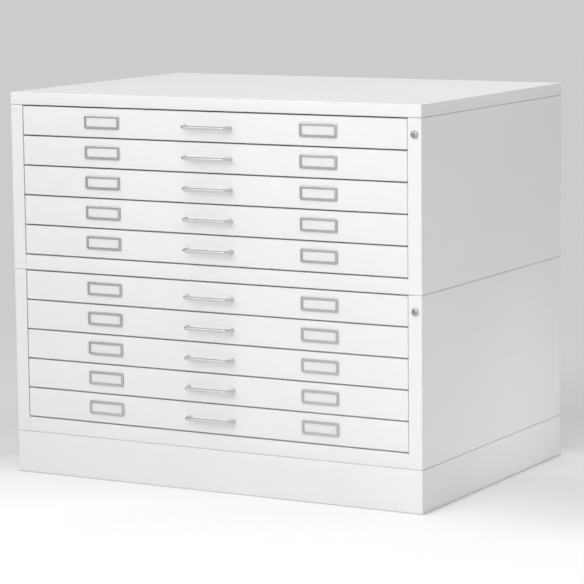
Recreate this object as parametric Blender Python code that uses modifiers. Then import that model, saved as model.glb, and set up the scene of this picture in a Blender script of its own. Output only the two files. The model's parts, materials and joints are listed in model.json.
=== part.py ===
"""A ten-drawer steel flat file: two five-drawer units stacked on a closed base, under a cap.

Lengths are in metres and +Z is up. The front faces -Y. The origin lies on the floor, under the
middle of the whole object's box, with the pulls counted in.
"""

import math

import bmesh
import bpy
from mathutils import Matrix, Vector

# Whole cabinet
CASE_WIDTH = 1.035
CASE_DEPTH = 0.720
BASE_HEIGHT = 0.095
CAP_HEIGHT = 0.028
UNIT_NAMES = ("lower", "upper")
DRAWERS_PER_UNIT = 5

# Case sheet metal
CASE_SHEET = 0.0012
INNER_BEND = 0.0005
STILE_WIDTH = 0.032
STILE_RETURN = 0.025
RAIL_HEIGHT = 0.0335
RAIL_SETBACK = 0.0006
RAIL_RETURN = 0.022
BACK_FLANGE = 0.015
CAP_LIP = 0.022
BASE_LIP = 0.025
SEAT_GAP = 0.0003

# Drawer front
FRONT_HEIGHT = 0.0644
FRONT_GAP = 0.003
FRONT_SIDE_GAP = 0.0014
FRONT_THICKNESS = 0.019
FRONT_SHEET = 0.0012
LIP_LAP = 0.0035

# Drawer tray
TRAY_SHEET = 0.001
TRAY_LAP = 0.0016
TRAY_RISE = 0.006
TRAY_TOP_ROOM = 0.0088
TRAY_SIDE_ROOM = 0.0143
TRAY_BACK_ROOM = 0.039
HOOD_DEPTH = 0.090
HOOD_LIP_RUN = 0.008
HOOD_LIP_RISE = 0.004

# Roller runners
CHANNEL_ROOM = 0.024
CHANNEL_SHEET = 0.0015
CHANNEL_WIDTH = 0.026
CHANNEL_START = 0.040
RUNNING_GAP = 0.0013
ROLLER_WIDTH = 0.0075
ROLLER_SIDES = 12
FRONT_ROLLER_RADIUS = 0.010
FRONT_ROLLER_SETBACK = 0.012
REAR_ROLLER_RADIUS = 0.011
REAR_ROLLER_INSET = 0.016
AXLE_RADIUS = 0.004
AXLE_SIDES = 6
SLIDE_BAR_WIDTH = 0.0095
SLIDE_BAR_THICKNESS = 0.0015
POST_SHEET = 0.0015
POST_LENGTH = 0.030

# Pull
PULL_SPAN = 0.104
PULL_SPLAY = 0.005
PULL_PROJECTION = 0.0245
PULL_ROD_RADIUS = 0.0038
PULL_BEND_RADIUS = 0.009
PULL_BEND_STEPS = 3
PULL_FOOT_RADIUS = 0.0055
PULL_FOOT_THICKNESS = 0.0022
PULL_ROD_RESOLUTION = 2
SCREW_RADIUS = 0.002
SCREW_HEAD_RADIUS = 0.004
SCREW_HEAD_THICKNESS = 0.0025
SCREW_SIDES = 6
FOOT_SIDES = 8

# Label holder
HOLDER_WIDTH = 0.0905
HOLDER_HEIGHT = 0.0305
HOLDER_DEPTH = 0.0030
HOLDER_RIM = 0.0055
HOLDER_WALL = 0.0009
HOLDER_LIP = 0.0009
HOLDER_CHAMFER = 0.0006
HOLDER_CORNER = 0.002
HOLDER_CORNER_STEPS = 2
HOLDER_EDGE_DEGREES = 60
HOLDER_OFFSET = 0.273
HOLDER_RISE = 0.0018

# Lock
LOCK_HEAD_RADIUS = 0.0083
LOCK_HEAD_THICKNESS = 0.0042
LOCK_BARREL_RADIUS = 0.007
LOCK_BARREL_LENGTH = 0.019
LOCK_NUT_RADIUS = 0.0095
LOCK_NUT_THICKNESS = 0.004
LOCK_SIDES = 16
NUT_SIDES = 6
PLUG_RADIUS = 0.005
KEYWAY_WIDTH = 0.0016
KEYWAY_HEIGHT = 0.0065
KEYWAY_DEPTH = 0.008
CRANK_RADIUS = 0.0075
CRANK_THICKNESS = 0.0025
CRANK_THROW = 0.005
CRANK_PIN_RADIUS = 0.002
CRANK_HALF_TURN = math.radians(45)
LOCK_BAR_WIDTH = 0.016
LOCK_BAR_SHEET = 0.0025
LOCK_BAR_END = 0.009
LOCK_BAR_INSET = 0.005
BAR_CLEARANCE = 0.001
SLOT_STEPS = 4
HOOK_HEIGHT = 0.007
HOOK_DROP = 0.008
CATCH_BELOW = 0.006
CATCH_ABOVE = 0.002
CATCH_SHEET = 0.003
CATCH_PLAY = 0.003
HOOK_HOLD = 0.0022
GUIDE_RADIUS = 0.0023
GUIDE_HEAD_RADIUS = 0.004
GUIDE_HEAD_THICKNESS = 0.002

# How far a cutter runs past what it cuts, and a joined piece into its neighbour
OVERRUN = 0.002

# Points of a curve's mesh that lie closer than this are one point
MERGE_DISTANCE = 0.00003

# Places worked out from the sizes
OUTER_BEND = INNER_BEND + CASE_SHEET
BEND_ROOM = CASE_SHEET + OUTER_BEND
CASE_HALF = CASE_WIDTH / 2
OPENING_HALF = CASE_HALF - STILE_WIDTH
FRONT_HALF = OPENING_HALF - FRONT_SIDE_GAP
FRONT_PITCH = FRONT_HEIGHT + FRONT_GAP
UNIT_HEIGHT = RAIL_HEIGHT + DRAWERS_PER_UNIT * FRONT_PITCH + FRONT_GAP
CAP_FLOOR = BASE_HEIGHT + len(UNIT_NAMES) * UNIT_HEIGHT
PULL_REACH = PULL_PROJECTION + PULL_ROD_RADIUS
FRONT_Y = (PULL_REACH - CASE_DEPTH) / 2

TRAY_HALF = OPENING_HALF - TRAY_SIDE_ROOM
TRAY_FRONT = FRONT_THICKNESS - TRAY_LAP
TRAY_BACK = CASE_DEPTH - TRAY_BACK_ROOM
TRAY_TOP = FRONT_HEIGHT - TRAY_TOP_ROOM
RUNNER_HEIGHT = (TRAY_RISE + TRAY_TOP) / 2
PULL_HEIGHT = FRONT_HEIGHT / 2
HOLDER_PLACE = FRONT_HEIGHT / 2 + HOLDER_RISE

CHANNEL_INNER = TRAY_HALF + RUNNING_GAP
CHANNEL_WEB = CHANNEL_INNER + CHANNEL_WIDTH
CHANNEL_END = CASE_DEPTH - CASE_SHEET - BACK_FLANGE - 2 * SEAT_GAP
ROLLER_INNER = CHANNEL_INNER + RUNNING_GAP
ROLLER_OUTER = ROLLER_INNER + ROLLER_WIDTH
SLIDE_BAR_TOP = RUNNER_HEIGHT + CHANNEL_ROOM / 2 - RUNNING_GAP
SLIDE_BAR_UNDER = SLIDE_BAR_TOP - SLIDE_BAR_THICKNESS
FRONT_ROLLER_Y = CHANNEL_START + FRONT_ROLLER_SETBACK
FRONT_ROLLER_Z = SLIDE_BAR_UNDER - SEAT_GAP - FRONT_ROLLER_RADIUS
REAR_ROLLER_Y = TRAY_BACK - REAR_ROLLER_INSET
REAR_ROLLER_Z = RUNNER_HEIGHT - CHANNEL_ROOM / 2 + SEAT_GAP + REAR_ROLLER_RADIUS

LOCK_X = CASE_HALF - STILE_WIDTH / 2
LOCK_HEIGHT = FRONT_HEIGHT / 2
LOCK_LIFT = 2 * CRANK_THROW * math.sin(CRANK_HALF_TURN)
LOCK_BAR_FRONT = STILE_RETURN + BAR_CLEARANCE
LOCK_BAR_BACK = LOCK_BAR_FRONT + LOCK_BAR_SHEET
LOCK_BAR_LEFT = OPENING_HALF + LOCK_BAR_INSET
LOCK_BAR_RIGHT = LOCK_BAR_LEFT + LOCK_BAR_WIDTH
POST_FRONT = LOCK_BAR_BACK + SEAT_GAP
CATCH_FRONT = LOCK_BAR_BACK + CATCH_PLAY
CATCH_OUTER = OPENING_HALF - FRONT_GAP - SEAT_GAP
HOOK_TIP = CATCH_OUTER - HOOK_HOLD

WHITE_ENAMEL = ("white_enamel", (0.86, 0.86, 0.86), 0.42, 0.0)
ZINC_STEEL = ("zinc_steel", (0.62, 0.63, 0.64), 0.38, 1.0)
CHROME = ("chrome", (0.78, 0.78, 0.79), 0.12, 1.0)
NICKEL = ("nickel", (0.56, 0.56, 0.56), 0.28, 1.0)

SHARP_ANGLE = math.radians(35)


def collection_named(name):
    """A collection of that name, linked to the scene."""
    collection = bpy.data.collections.new(name)
    bpy.context.scene.collection.children.link(collection)
    return collection


def material_of(finish):
    """The Principled material for a finish, made once."""
    name, colour, roughness, metallic = finish
    material = bpy.data.materials.get(name)
    if material is None:
        material = bpy.data.materials.new(name)
        material.use_nodes = True
        shader = material.node_tree.nodes["Principled BSDF"]
        shader.inputs["Base Color"].default_value = (*colour, 1)
        shader.inputs["Roughness"].default_value = roughness
        shader.inputs["Metallic"].default_value = metallic
        material.diffuse_color = (*colour, 1)
    return material


def loose_object(mesh):
    """An object that is still being shaped. It is in the scene only until its mesh is taken."""
    made = bpy.data.objects.new(mesh.name, mesh)
    bpy.context.scene.collection.objects.link(made)
    return made


def from_bmesh(shape):
    """A loose object with the bmesh's faces, all facing out."""
    bmesh.ops.recalc_face_normals(shape, faces=shape.faces)
    mesh = bpy.data.meshes.new("shape")
    shape.to_mesh(mesh)
    shape.free()
    return loose_object(mesh)


def cube_between(low, high):
    """A bmesh box from one corner to the other."""
    shape = bmesh.new()
    bmesh.ops.create_cube(shape, size=1)
    low, high = Vector(low), Vector(high)
    stretch = Matrix.Diagonal((*(high - low), 1))
    place = Matrix.Translation((low + high) / 2)
    bmesh.ops.transform(shape, matrix=place @ stretch, verts=shape.verts)
    return shape


def box(low, high):
    """A solid box from one corner to the other."""
    return from_bmesh(cube_between(low, high))


def rod(radius, start, end, sides):
    """A solid cylinder between two points."""
    start, end = Vector(start), Vector(end)
    along = end - start
    shape = bmesh.new()
    bmesh.ops.create_cone(
        shape, cap_ends=True, segments=sides, radius1=radius, radius2=radius, depth=along.length
    )
    turn = along.to_track_quat("Z", "Y").to_matrix().to_4x4()
    bmesh.ops.transform(shape, matrix=Matrix.Translation((start + end) / 2) @ turn, verts=shape.verts)
    return from_bmesh(shape)


def shaped(made):
    """The object with its modifiers turned into its own mesh."""
    bpy.context.view_layer.update()
    graph = bpy.context.evaluated_depsgraph_get()
    mesh = bpy.data.meshes.new_from_object(made.evaluated_get(graph))
    made.modifiers.clear()
    made.data = mesh
    return made


def thickened(surface, sheet, rounded):
    """The open surface as folded sheet metal. The surface is the sheet's outer side."""
    if rounded:
        fold = surface.modifiers.new("bends", "BEVEL")
        fold.width = INNER_BEND + sheet
        fold.segments = 1
        fold.limit_method = "ANGLE"
        fold.use_clamp_overlap = False
    wall = surface.modifiers.new("sheet", "SOLIDIFY")
    wall.thickness = sheet
    wall.offset = -1
    wall.use_even_offset = True
    return shaped(surface)


def pan(low, high, sheet, open_sides=(), lips=None, rounded=True):
    """A folded sheet box. open_sides are left out, and lips gives the width of what is left of a side."""
    shape = cube_between(low, high)
    bmesh.ops.recalc_face_normals(shape, faces=shape.faces)
    lips = lips or {}
    gone = []
    for face in list(shape.faces):
        facing = tuple(round(part) for part in face.normal)
        if facing in open_sides:
            gone.append(face)
        elif facing in lips:
            bmesh.ops.inset_region(shape, faces=[face], thickness=lips[facing])
            gone.append(face)
    bmesh.ops.delete(shape, geom=gone, context="FACES_ONLY")
    surface = bpy.data.meshes.new("shape")
    shape.to_mesh(surface)
    shape.free()
    return thickened(loose_object(surface), sheet, rounded)


def folded(outline, start, end, sheet, plane, rounded=True):
    """Sheet folded along an outline and run from start to end. The outline's right side is outside.

    In plane YZ the outline's points are (y, z) and the run is along X. In plane XY they are
    (x, y) and the run is along Z. In plane XZ they are (x, z) and the run is along Y.
    """
    place = {
        "YZ": lambda a, b, run: (run, a, b),
        "XY": lambda a, b, run: (a, b, run),
        "XZ": lambda a, b, run: (a, run, b),
    }[plane]
    shape = bmesh.new()
    corners = [shape.verts.new(place(a, b, start)) for a, b in outline]
    edges = [shape.edges.new(pair) for pair in zip(corners, corners[1:])]
    drawn = bmesh.ops.extrude_edge_only(shape, edges=edges)
    moved = [part for part in drawn["geom"] if isinstance(part, bmesh.types.BMVert)]
    shift = Vector(place(0, 0, end)) - Vector(place(0, 0, start))
    bmesh.ops.translate(shape, vec=shift, verts=moved)
    outward = Vector(place(outline[1][1] - outline[0][1], outline[0][0] - outline[1][0], 0))
    outward -= Vector(place(0, 0, 0))
    shape.normal_update()
    if edges[0].link_faces[0].normal.dot(outward) < 0:
        bmesh.ops.reverse_faces(shape, faces=shape.faces)
    mesh = bpy.data.meshes.new("shape")
    shape.to_mesh(mesh)
    shape.free()
    return thickened(loose_object(mesh), sheet, rounded)


def combined(body, operation, others):
    """The body with the others joined to it or cut from it, which are used up."""
    for number, other in enumerate(others):
        step = body.modifiers.new(f"{operation.lower()}_{number}", "BOOLEAN")
        step.operation = operation
        step.solver = "EXACT"
        step.object = other
    shaped(body)
    for other in others:
        bpy.data.objects.remove(other)
    return body


def joined(body, *others):
    return combined(body, "UNION", others)


def cut(body, *others):
    return combined(body, "DIFFERENCE", others)


def mirrored(made):
    """The loose object's mirror image in X."""
    mesh = made.data.copy()
    mesh.transform(Matrix.Diagonal((-1, 1, 1, 1)))
    mesh.flip_normals()
    return loose_object(mesh)


def finished_mesh(made, name):
    """Takes a loose object's mesh out of the scene, shaded smooth up to the sharp edges."""
    mesh = made.data
    mesh.name = name
    bpy.data.objects.remove(made)
    mesh.shade_smooth()
    mesh.set_sharp_from_angle(angle=SHARP_ANGLE)
    return mesh


def place_part(name, mesh, finish, parent, collection):
    """A finished part of the cabinet, hung on its empty."""
    if not mesh.materials:
        mesh.materials.append(material_of(finish))
    part = bpy.data.objects.new(name, mesh)
    part.parent = parent
    collection.objects.link(part)
    return part


def place_empty(name, where, collection, parent=None):
    empty = bpy.data.objects.new(name, None)
    empty.location = where
    empty.parent = parent
    collection.objects.link(empty)
    return empty


def base_shape():
    """The closed base: four sides in one ring, with lips turned in at the top and the bottom."""
    return pan(
        (-CASE_HALF, 0, 0),
        (CASE_HALF, CASE_DEPTH, BASE_HEIGHT - SEAT_GAP),
        CASE_SHEET,
        lips={(0, 0, 1): BASE_LIP, (0, 0, -1): BASE_LIP},
    )


def cap_shape():
    """The cap: a flat top with a skirt all round, and a lip turned in under it."""
    return pan(
        (-CASE_HALF, 0, 0),
        (CASE_HALF, CASE_DEPTH, CAP_HEIGHT),
        CASE_SHEET,
        lips={(0, 0, -1): CAP_LIP},
    )


def right_side_shape(with_lock):
    """A unit's side: a shallow pan on edge whose front rim is the stile, with the stile's return."""
    height = UNIT_HEIGHT - SEAT_GAP
    side = pan(
        (OPENING_HALF, 0, 0),
        (CASE_HALF, CASE_DEPTH, height),
        CASE_SHEET,
        open_sides=[(-1, 0, 0)],
    )
    half_sheet = CASE_SHEET / 2
    side = joined(
        side,
        box(
            (OPENING_HALF, half_sheet, half_sheet),
            (OPENING_HALF + CASE_SHEET, STILE_RETURN, height - half_sheet),
        ),
    )
    if with_lock:
        centre = (LOCK_X, lock_height_in_unit())
        hole = rod(
            LOCK_BARREL_RADIUS + SEAT_GAP,
            (centre[0], -OVERRUN, centre[1]),
            (centre[0], CASE_SHEET + OVERRUN, centre[1]),
            LOCK_SIDES,
        )
        side = cut(side, hole)
    return side


def back_panel_shape():
    """A unit's back, inside the side panels' rear rims, with a flange along its top and bottom."""
    outer = CASE_DEPTH - CASE_SHEET - SEAT_GAP
    low = CASE_SHEET + SEAT_GAP
    high = UNIT_HEIGHT - 2 * SEAT_GAP - CASE_SHEET
    half = CASE_HALF - BEND_ROOM
    outline = [(outer - BACK_FLANGE, low), (outer, low), (outer, high), (outer - BACK_FLANGE, high)]
    return folded(outline, -half, half, CASE_SHEET, "YZ")


def bottom_rail_shape():
    """The rail under a unit's lowest drawer, between the stiles and set back a little from them."""
    half = OPENING_HALF - SEAT_GAP
    back = RAIL_SETBACK + RAIL_RETURN
    outline = [(back, RAIL_HEIGHT), (RAIL_SETBACK, RAIL_HEIGHT), (RAIL_SETBACK, 0), (back, 0)]
    return folded(outline, -half, half, CASE_SHEET, "YZ")


def channel_shapes(floor):
    """One drawer's runner on the right: a channel open towards the drawer, and its front roller."""
    middle = floor + RUNNER_HEIGHT
    under = middle - CHANNEL_ROOM / 2 - CHANNEL_SHEET
    over = middle + CHANNEL_ROOM / 2 + CHANNEL_SHEET
    outline = [(CHANNEL_INNER, under), (CHANNEL_WEB, under), (CHANNEL_WEB, over), (CHANNEL_INNER, over)]
    channel = folded(outline, CHANNEL_START, CHANNEL_END, CHANNEL_SHEET, "XZ", rounded=False)
    height = floor + FRONT_ROLLER_Z
    roller = rod(
        FRONT_ROLLER_RADIUS,
        (ROLLER_INNER, FRONT_ROLLER_Y, height),
        (ROLLER_OUTER, FRONT_ROLLER_Y, height),
        ROLLER_SIDES,
    )
    axle = rod(
        AXLE_RADIUS,
        (ROLLER_OUTER - OVERRUN, FRONT_ROLLER_Y, height),
        (CHANNEL_WEB - CHANNEL_SHEET / 2, FRONT_ROLLER_Y, height),
        AXLE_SIDES,
    )
    return [channel, roller, axle]


def post_shape(front):
    """An upright that carries the channels: a U open towards the drawers, against the side panel."""
    outer = CASE_HALF - CASE_SHEET - SEAT_GAP
    inner = CHANNEL_WEB - CHANNEL_SHEET / 2
    back = front + POST_LENGTH
    low = BEND_ROOM
    high = UNIT_HEIGHT - SEAT_GAP - BEND_ROOM
    outline = [(inner, front), (outer, front), (outer, back), (inner, back)]
    return folded(outline, low, high, POST_SHEET, "XY", rounded=False)


def guide_shapes(height):
    """A headed pin on the front post, on which the lock bar slides."""
    head_back = LOCK_BAR_FRONT - SEAT_GAP
    head_front = head_back - GUIDE_HEAD_THICKNESS
    shank_end = (LOCK_X, POST_FRONT + POST_SHEET / 2, height)
    shank = rod(GUIDE_RADIUS, (LOCK_X, head_back - GUIDE_HEAD_THICKNESS / 2, height), shank_end, SCREW_SIDES)
    head = rod(GUIDE_HEAD_RADIUS, (LOCK_X, head_front, height), (LOCK_X, head_back, height), FOOT_SIDES)
    return [shank, head]


def right_runners_shape(with_lock):
    """One side's runners of a unit: two posts, a channel and a roller for each drawer."""
    parts = [post_shape(CHANNEL_END - POST_LENGTH)]
    for row in range(DRAWERS_PER_UNIT):
        parts += channel_shapes(drawer_floor_in_unit(row))
    if with_lock:
        for height in guide_heights():
            parts += guide_shapes(height)
    return joined(post_shape(POST_FRONT), *parts)


def drawer_floor_in_unit(row):
    """The lower edge of a drawer front, above the unit's floor. Row 0 is the lowest."""
    return RAIL_HEIGHT + FRONT_GAP + row * FRONT_PITCH


def lock_height_in_unit():
    """The lock is level with the middle of the unit's top drawer."""
    return drawer_floor_in_unit(DRAWERS_PER_UNIT - 1) + LOCK_HEIGHT


def guide_heights():
    """The lock bar's two guide pins, between the two lowest and the two highest drawers' runners."""
    rows = (1, DRAWERS_PER_UNIT - 1)
    return [drawer_floor_in_unit(row) - FRONT_GAP / 2 for row in rows]


def front_shape():
    """A drawer's hollow front: a face with four returns, and lips along the back's top and bottom."""
    shell = pan(
        (-FRONT_HALF, 0, 0),
        (FRONT_HALF, FRONT_THICKNESS, FRONT_HEIGHT),
        FRONT_SHEET,
        open_sides=[(0, 1, 0)],
    )
    half_sheet = FRONT_SHEET / 2
    half = FRONT_HALF - half_sheet
    lip_front = FRONT_THICKNESS - FRONT_SHEET
    lip = TRAY_TOP_ROOM + LIP_LAP
    top_lip = box((-half, lip_front, FRONT_HEIGHT - lip), (half, FRONT_THICKNESS, FRONT_HEIGHT - half_sheet))
    bottom_lip = box((-half, lip_front, half_sheet), (half, FRONT_THICKNESS, TRAY_RISE + LIP_LAP))
    return joined(shell, top_lip, bottom_lip)


def slide_side_shapes(side, with_catch):
    """What the tray carries on one side: the bar that runs on the case's roller, and the rear roller.

    The bar starts behind the lock bar, level with the catch.
    """
    wall = TRAY_HALF - TRAY_SHEET / 2
    bar_back = REAR_ROLLER_Y - REAR_ROLLER_RADIUS - RUNNING_GAP
    lift = REAR_ROLLER_Z
    spans = [((wall, CATCH_FRONT, SLIDE_BAR_UNDER), (TRAY_HALF + SLIDE_BAR_WIDTH, bar_back, SLIDE_BAR_TOP))]
    if with_catch:
        catch_low = (wall, CATCH_FRONT, RUNNER_HEIGHT - CATCH_BELOW)
        catch_high = (CATCH_OUTER, CATCH_FRONT + CATCH_SHEET, RUNNER_HEIGHT + CATCH_ABOVE)
        spans.append((catch_low, catch_high))
    shapes = []
    for low, high in spans:
        across = sorted((side * low[0], side * high[0]))
        shapes.append(box((across[0], *low[1:]), (across[1], *high[1:])))
    inner = side * ROLLER_INNER
    outer = side * ROLLER_OUTER
    axle_end = outer - side * OVERRUN
    for radius, start, end, sides in (
        (REAR_ROLLER_RADIUS, inner, outer, ROLLER_SIDES),
        (AXLE_RADIUS, side * wall, axle_end, AXLE_SIDES),
    ):
        shapes.append(rod(radius, (start, REAR_ROLLER_Y, lift), (end, REAR_ROLLER_Y, lift), sides))
    return shapes


def hood_shape():
    """The sheet over the tray's rear end that holds papers down, with a raised guiding edge."""
    half = TRAY_HALF - TRAY_SHEET / 2
    back = TRAY_BACK - TRAY_SHEET / 2
    edge = TRAY_BACK - HOOD_DEPTH
    outline = [(back, TRAY_TOP), (edge, TRAY_TOP), (edge - HOOD_LIP_RUN, TRAY_TOP + HOOD_LIP_RISE)]
    return folded(outline, -half, half, TRAY_SHEET, "YZ", rounded=False)


def tray_shape():
    """A drawer: its open tray welded to its hollow front, with hood, slide bars, rollers and catch."""
    tray = pan(
        (-TRAY_HALF, TRAY_FRONT, TRAY_RISE),
        (TRAY_HALF, TRAY_BACK, TRAY_TOP),
        TRAY_SHEET,
        open_sides=[(0, 0, 1)],
        rounded=False,
    )
    sides = slide_side_shapes(1, True) + slide_side_shapes(-1, False)
    tray = joined(tray, front_shape(), hood_shape(), *sides)
    holes = []
    for side in (-1, 1):
        across = side * (PULL_SPAN / 2 + PULL_SPLAY)
        start = (across, -OVERRUN, PULL_HEIGHT)
        end = (across, FRONT_SHEET + OVERRUN, PULL_HEIGHT)
        holes.append(rod(SCREW_RADIUS + SEAT_GAP, start, end, SCREW_SIDES))
    return cut(tray, *holes)


def curve_mesh(curve):
    """The mesh of a curve, with its points merged where its caps and rings meet, as a bmesh."""
    guide = bpy.data.objects.new(curve.name, curve)
    bpy.context.scene.collection.objects.link(guide)
    bpy.context.view_layer.update()
    graph = bpy.context.evaluated_depsgraph_get()
    mesh = bpy.data.meshes.new_from_object(guide.evaluated_get(graph))
    bpy.data.objects.remove(guide)
    made = bmesh.new()
    made.from_mesh(mesh)
    bmesh.ops.remove_doubles(made, verts=made.verts, dist=MERGE_DISTANCE)
    return made


def add_spline(curve, points, closed):
    """A line of (x, y) points added to a curve."""
    spline = curve.splines.new("POLY")
    spline.points.add(len(points) - 1)
    spline.use_cyclic_u = closed
    for point, place in zip(spline.points, points):
        point.co = (place[0], place[1], 0, 1)


def pull_route():
    """The pull's centreline from one foot to the other, with each bend an arc between leg and grip."""
    foot = Vector((PULL_SPAN / 2 + PULL_SPLAY, -PULL_FOOT_THICKNESS / 2))
    corner = Vector((PULL_SPAN / 2, -PULL_PROJECTION))
    leg = (foot - corner).normalized()
    grip = Vector((-1, 0))
    half_angle = leg.angle(grip) / 2
    reach = PULL_BEND_RADIUS / math.tan(half_angle)
    centre = corner + (leg + grip).normalized() * PULL_BEND_RADIUS / math.sin(half_angle)
    first = corner + leg * reach - centre
    last = corner + grip * reach - centre
    sweep = first.angle_signed(last)
    half = [foot]
    for step in range(PULL_BEND_STEPS + 1):
        turn = Matrix.Rotation(-sweep * step / PULL_BEND_STEPS, 2)
        half.append(centre + turn @ first)
    other = [Vector((-point.x, point.y)) for point in reversed(half)]
    return half + other


def pull_shape():
    """A bent rod pull with a round foot on each leg, and the screws that hold it behind the front."""
    curve = bpy.data.curves.new("pull_rod", "CURVE")
    curve.dimensions = "3D"
    curve.bevel_depth = PULL_ROD_RADIUS
    curve.bevel_resolution = PULL_ROD_RESOLUTION
    curve.use_fill_caps = True
    add_spline(curve, pull_route(), closed=False)
    pull = from_bmesh(curve_mesh(curve))
    extras = []
    behind = FRONT_SHEET + SEAT_GAP
    for side in (-1, 1):
        across = side * (PULL_SPAN / 2 + PULL_SPLAY)
        steps = [
            (PULL_FOOT_RADIUS, -SEAT_GAP - PULL_FOOT_THICKNESS, -SEAT_GAP, FOOT_SIDES),
            (SCREW_RADIUS, -PULL_FOOT_THICKNESS, behind + SCREW_HEAD_THICKNESS / 2, SCREW_SIDES),
            (SCREW_HEAD_RADIUS, behind, behind + SCREW_HEAD_THICKNESS, SCREW_SIDES),
        ]
        for radius, start, end, sides in steps:
            extras.append(rod(radius, (across, start, 0), (across, end, 0), sides))
    return joined(pull, *extras)


def holder_shape():
    """A label holder: a raised frame, hollow behind so that a card slides in, with a window."""
    half_width = HOLDER_WIDTH / 2
    half_height = HOLDER_HEIGHT / 2
    back = -SEAT_GAP
    front = back - HOLDER_DEPTH
    plate = cube_between((-half_width, front, -half_height), (half_width, back, half_height))
    corners = [edge for edge in plate.edges if edge.verts[0].co.y != edge.verts[1].co.y]
    bmesh.ops.bevel(plate, geom=corners, offset=HOLDER_CORNER, segments=HOLDER_CORNER_STEPS, affect="EDGES")
    frame = from_bmesh(plate)
    chamfer = frame.modifiers.new("chamfer", "BEVEL")
    chamfer.width = HOLDER_CHAMFER
    chamfer.segments = 1
    chamfer.angle_limit = math.radians(HOLDER_EDGE_DEGREES)
    shaped(frame)
    pocket = box(
        (-half_width + HOLDER_WALL, front + HOLDER_LIP, -half_height + HOLDER_WALL),
        (half_width - HOLDER_WALL, back + OVERRUN, half_height - HOLDER_WALL),
    )
    window = box(
        (-half_width + HOLDER_RIM, front - OVERRUN, -half_height + HOLDER_RIM),
        (half_width - HOLDER_RIM, back + OVERRUN, half_height - HOLDER_RIM),
    )
    return cut(frame, pocket, window)


def turned(steps):
    """Joined cylinders along Y on the lock's axis. Each step is a radius, a start, an end and its sides."""
    made = [rod(radius, (0, start, 0), (0, end, 0), sides) for radius, start, end, sides in steps]
    return joined(*made)


def lock_cylinder_shape():
    """The lock's case: a head on the stile's face, a barrel through it and a nut behind it."""
    head = (LOCK_HEAD_RADIUS, -SEAT_GAP - LOCK_HEAD_THICKNESS, -SEAT_GAP, LOCK_SIDES)
    barrel = (LOCK_BARREL_RADIUS, -LOCK_HEAD_THICKNESS, LOCK_BARREL_LENGTH, LOCK_SIDES)
    nut_front = CASE_SHEET + SEAT_GAP
    nut = (LOCK_NUT_RADIUS, nut_front, nut_front + LOCK_NUT_THICKNESS, NUT_SIDES)
    body = turned([head, barrel, nut])
    bore = rod(
        PLUG_RADIUS + SEAT_GAP,
        (0, -LOCK_HEAD_THICKNESS - OVERRUN, 0),
        (0, LOCK_BARREL_LENGTH + OVERRUN, 0),
        LOCK_SIDES,
    )
    return cut(body, bore)


def lock_plug_shape():
    """The plug that the key turns, with its keyway in front and a crank and pin behind."""
    crank_front = LOCK_BARREL_LENGTH + SEAT_GAP
    crank_back = crank_front + CRANK_THICKNESS
    plug = (PLUG_RADIUS, -LOCK_HEAD_THICKNESS, crank_back - CRANK_THICKNESS / 2, LOCK_SIDES)
    crank = (CRANK_RADIUS, crank_front, crank_back, LOCK_SIDES)
    body = turned([plug, crank])
    across = -CRANK_THROW * math.cos(CRANK_HALF_TURN)
    down = -CRANK_THROW * math.sin(CRANK_HALF_TURN)
    pin = rod(
        CRANK_PIN_RADIUS,
        (across, crank_back - CRANK_THICKNESS / 2, down),
        (across, LOCK_BAR_BACK - SEAT_GAP, down),
        FOOT_SIDES,
    )
    body = joined(body, pin)
    keyway = box(
        (-KEYWAY_WIDTH / 2, -LOCK_HEAD_THICKNESS - OVERRUN, -KEYWAY_HEIGHT / 2),
        (KEYWAY_WIDTH / 2, -LOCK_HEAD_THICKNESS + KEYWAY_DEPTH, KEYWAY_HEIGHT / 2),
    )
    return cut(body, keyway)


def slot_outline(low, high, radius):
    """A slot with round ends between two centres, as a closed list of points."""
    low, high = Vector(low), Vector(high)
    along = (high - low).normalized() * radius
    points = []
    for centre, start in ((high, -90), (low, 90)):
        for step in range(SLOT_STEPS + 1):
            turn = Matrix.Rotation(math.radians(start + 180 * step / SLOT_STEPS), 2)
            points.append(centre + turn @ along)
    return points


def lock_bar_outlines():
    """The lock bar's edge and its slots, as points (x, z) in the unit."""
    top = lock_height_in_unit() + LOCK_BAR_END
    bottom = drawer_floor_in_unit(0) + RUNNER_HEIGHT - HOOK_DROP - HOOK_HEIGHT - LOCK_BAR_END
    edge = [(LOCK_BAR_LEFT, bottom)]
    edge += [(LOCK_BAR_RIGHT, bottom), (LOCK_BAR_RIGHT, top), (LOCK_BAR_LEFT, top)]
    for row in reversed(range(DRAWERS_PER_UNIT)):
        hook_top = drawer_floor_in_unit(row) + RUNNER_HEIGHT - HOOK_DROP
        hook_bottom = hook_top - HOOK_HEIGHT
        edge += [(LOCK_BAR_LEFT, hook_top), (HOOK_TIP, hook_top)]
        edge += [(HOOK_TIP, hook_bottom), (LOCK_BAR_LEFT, hook_bottom)]
    slots = []
    room = GUIDE_RADIUS + SEAT_GAP
    for height in guide_heights():
        slots.append(slot_outline((LOCK_X, height - LOCK_LIFT), (LOCK_X, height), room))
    pin_height = lock_height_in_unit() - CRANK_THROW * math.sin(CRANK_HALF_TURN)
    near = LOCK_X - CRANK_THROW * math.cos(CRANK_HALF_TURN)
    far = LOCK_X - CRANK_THROW
    slots.append(slot_outline((far, pin_height), (near, pin_height), CRANK_PIN_RADIUS + SEAT_GAP))
    return [edge, *slots]


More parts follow.
